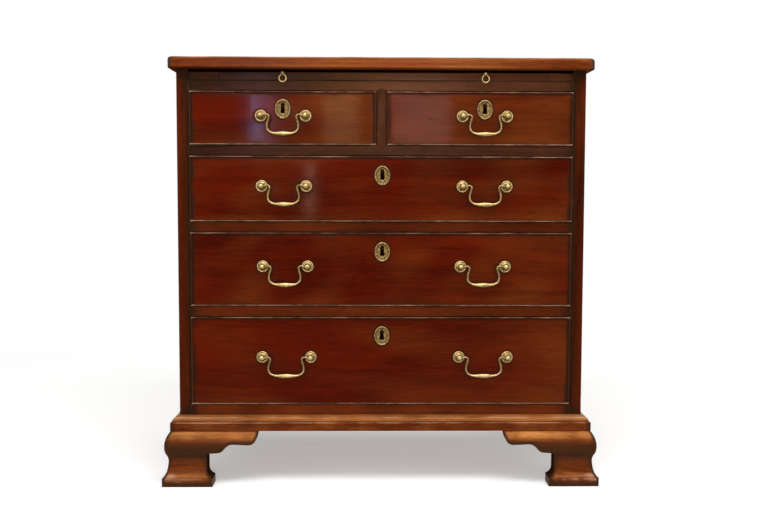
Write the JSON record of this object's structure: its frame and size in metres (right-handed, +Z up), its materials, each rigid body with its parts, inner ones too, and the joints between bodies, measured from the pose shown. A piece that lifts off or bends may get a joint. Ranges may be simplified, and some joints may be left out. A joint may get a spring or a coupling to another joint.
{
  "type": "bachelors chest",
  "caption": "Mahogany bachelor's chest: a brushing slide over short and long cock-beaded drawers with swan-neck brass bails, on ogee bracket feet.",
  "frame": {"origin": "on the floor, under the middle of the whole piece", "axes": "+Z up, +Y from the drawer fronts to the back, +X to the right when facing the drawers"},
  "size_m": [0.836, 0.4906, 0.8146],
  "materials": {
    "mahogany_front": "polished",
    "mahogany_case": "polished",
    "mahogany_light": "polished",
    "oak_lining": "bare",
    "pine": "bare",
    "brass": "aged",
    "iron": "aged"
  },
  "bodies": {
    "case": {"top_board": "mahogany_light", "side_left": "mahogany_case", "side_right": "mahogany_case", "back_board_upper": "pine", "back_board_lower": "pine", "slide_divider": "mahogany_case", "upper_divider": "mahogany_case", "middle_divider": "mahogany_case", "lower_divider": "mahogany_case", "bottom_board": "mahogany_case", "drawer_divider": "mahogany_case", "base_moulding": "mahogany_light", "foot_front_left": "mahogany_light", "foot_front_right": "mahogany_light", "foot_back_left": "mahogany_light", "foot_back_right": "mahogany_light"},
    "slide": {"slide_panel": "mahogany_case", "slide_eye_left": "brass", "slide_eye_right": "brass"},
    "slide_ring_left": {"slide_ring_left": "brass"},
    "slide_ring_right": {"slide_ring_right": "brass"},
    "short_left_drawer": {"short_left_front": "mahogany_front", "short_left_box": "oak_lining", "short_left_post_a": "brass", "short_left_post_b": "brass"},
    "short_left_lock": {"short_left_lock_bolt": "iron"},
    "short_left_handle": {"short_left_bail": "brass"},
    "short_right_drawer": {"short_right_front": "mahogany_front", "short_right_box": "oak_lining", "short_right_post_a": "brass", "short_right_post_b": "brass"},
    "short_right_lock": {"short_right_lock_bolt": "iron"},
    "short_right_handle": {"short_right_bail": "brass"},
    "long_upper_drawer": {"long_upper_front": "mahogany_front", "long_upper_box": "oak_lining", "long_upper_left_post_a": "brass", "long_upper_left_post_b": "brass", "long_upper_right_post_a": "brass", "long_upper_right_post_b": "brass"},
    "long_upper_lock": {"long_upper_lock_bolt": "iron"},
    "long_upper_left_handle": {"long_upper_left_bail": "brass"},
    "long_upper_right_handle": {"long_upper_right_bail": "brass"},
    "long_middle_drawer": {"long_middle_front": "mahogany_front", "long_middle_box": "oak_lining", "long_middle_left_post_a": "brass", "long_middle_left_post_b": "brass", "long_middle_right_post_a": "brass", "long_middle_right_post_b": "brass"},
    "long_middle_lock": {"long_middle_lock_bolt": "iron"},
    "long_middle_left_handle": {"long_middle_left_bail": "brass"},
    "long_middle_right_handle": {"long_middle_right_bail": "brass"},
    "long_lower_drawer": {"long_lower_front": "mahogany_front", "long_lower_box": "oak_lining", "long_lower_left_post_a": "brass", "long_lower_left_post_b": "brass", "long_lower_right_post_a": "brass", "long_lower_right_post_b": "brass"},
    "long_lower_lock": {"long_lower_lock_bolt": "iron"},
    "long_lower_left_handle": {"long_lower_left_bail": "brass"},
    "long_lower_right_handle": {"long_lower_right_bail": "brass"}
  },
  "joints": [
    {"name": "slide_run", "type": "slide", "parent": "case", "child": "slide", "axis": [0, -1, 0], "range_m": [0, 0.3]},
    {"name": "ring_left_swing", "type": "hinge", "parent": "slide", "child": "slide_ring_left", "pos_m": [-0.18652, -0.22275, 0.7831], "axis": [-1, 0, 0], "range_deg": [-22, 110]},
    {"name": "ring_right_swing", "type": "hinge", "parent": "slide", "child": "slide_ring_right", "pos_m": [0.19563, -0.22275, 0.7831], "axis": [-1, 0, 0], "range_deg": [-22, 110]},
    {"name": "short_left_run", "type": "slide", "parent": "case", "child": "short_left_drawer", "axis": [0, -1, 0], "range_m": [0, 0.33]},
    {"name": "short_left_lock_throw", "type": "slide", "parent": "short_left_drawer", "child": "short_left_lock", "axis": [0, 0, 1], "range_m": [0, 0.007]},
    {"name": "short_left_bail_swing", "type": "hinge", "parent": "short_left_drawer", "child": "short_left_handle", "pos_m": [-0.18644, -0.22875, 0.70556], "axis": [-1, 0, 0], "range_deg": [-13, 180]},
    {"name": "short_right_run", "type": "slide", "parent": "case", "child": "short_right_drawer", "axis": [0, -1, 0], "range_m": [0, 0.33]},
    {"name": "short_right_lock_throw", "type": "slide", "parent": "short_right_drawer", "child": "short_right_lock", "axis": [0, 0, 1], "range_m": [0, 0.007]},
    {"name": "short_right_bail_swing", "type": "hinge", "parent": "short_right_drawer", "child": "short_right_handle", "pos_m": [0.19565, -0.22875, 0.70556], "axis": [-1, 0, 0], "range_deg": [-13, 180]},
    {"name": "long_upper_run", "type": "slide", "parent": "case", "child": "long_upper_drawer", "axis": [0, -1, 0], "range_m": [0, 0.33]},
    {"name": "long_upper_lock_throw", "type": "slide", "parent": "long_upper_drawer", "child": "long_upper_lock", "axis": [0, 0, 1], "range_m": [0, 0.007]},
    {"name": "long_upper_left_bail_swing", "type": "hinge", "parent": "long_upper_drawer", "child": "long_upper_left_handle", "pos_m": [-0.1855, -0.22875, 0.57299], "axis": [-1, 0, 0], "range_deg": [-13, 180]},
    {"name": "long_upper_right_bail_swing", "type": "hinge", "parent": "long_upper_drawer", "child": "long_upper_right_handle", "pos_m": [0.19621, -0.22875, 0.57299], "axis": [-1, 0, 0], "range_deg": [-13, 180]},
    {"name": "long_middle_run", "type": "slide", "parent": "case", "child": "long_middle_drawer", "axis": [0, -1, 0], "range_m": [0, 0.33]},
    {"name": "long_middle_lock_throw", "type": "slide", "parent": "long_middle_drawer", "child": "long_middle_lock", "axis": [0, 0, 1], "range_m": [0, 0.007]},
    {"name": "long_middle_left_bail_swing", "type": "hinge", "parent": "long_middle_drawer", "child": "long_middle_left_handle", "pos_m": [-0.18361, -0.22875, 0.42016], "axis": [-1, 0, 0], "range_deg": [-13, 180]},
    {"name": "long_middle_right_bail_swing", "type": "hinge", "parent": "long_middle_drawer", "child": "long_middle_right_handle", "pos_m": [0.19403, -0.22875, 0.42016], "axis": [-1, 0, 0], "range_deg": [-13, 180]},
    {"name": "long_lower_run", "type": "slide", "parent": "case", "child": "long_lower_drawer", "axis": [0, -1, 0], "range_m": [0, 0.33]},
    {"name": "long_lower_lock_throw", "type": "slide", "parent": "long_lower_drawer", "child": "long_lower_lock", "axis": [0, 0, 1], "range_m": [0, 0.007]},
    {"name": "long_lower_left_bail_swing", "type": "hinge", "parent": "long_lower_drawer", "child": "long_lower_left_handle", "pos_m": [-0.18179, -0.22875, 0.24538], "axis": [-1, 0, 0], "range_deg": [-13, 180]},
    {"name": "long_lower_right_bail_swing", "type": "hinge", "parent": "long_lower_drawer", "child": "long_lower_right_handle", "pos_m": [0.19599, -0.22875, 0.24538], "axis": [-1, 0, 0], "range_deg": [-13, 180]}
  ]
}
